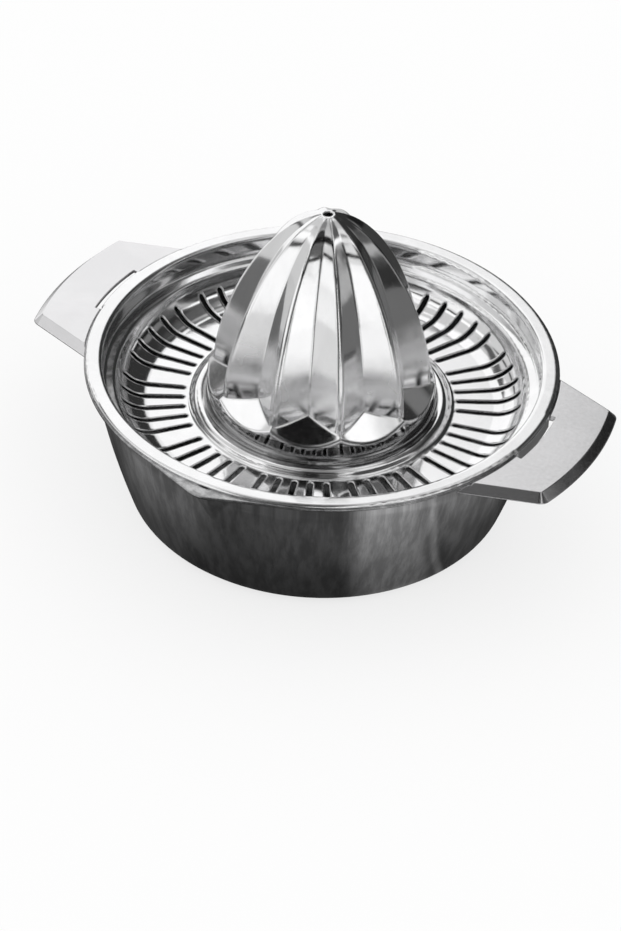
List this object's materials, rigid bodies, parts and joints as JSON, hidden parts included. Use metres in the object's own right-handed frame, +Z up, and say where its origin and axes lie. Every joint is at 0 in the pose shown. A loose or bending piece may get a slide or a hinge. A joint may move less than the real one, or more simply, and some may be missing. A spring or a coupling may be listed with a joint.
{
  "type": "bowl citrus juicer",
  "caption": "Manual citrus juicer: fluted reamer and slotted strainer pressed as one sheet, lifting off a round juice bowl with lug handles and a pouring lip.",
  "frame": {"origin": "centre of the juice bowl's flat underside, on the bowl's axis", "axes": "+Z up along the bowl's axis, +X along the two lug handles, -Y towards the pouring lip"},
  "size_m": [0.1774, 0.1449, 0.0995],
  "materials": {
    "bowl_steel": "brushed",
    "handle_steel": "satin",
    "strainer_steel": "mirror polished steel"
  },
  "bodies": {
    "bowl": {"juice_bowl": "bowl_steel", "left_handle": "handle_steel", "right_handle": "handle_steel"},
    "strainer": {"reamer_strainer": "strainer_steel"}
  },
  "joints": [
    {"name": "strainer_lift", "type": "slide", "parent": "bowl", "child": "strainer", "axis": [0, 0, 1], "range_m": [0, 0.06]}
  ]
}
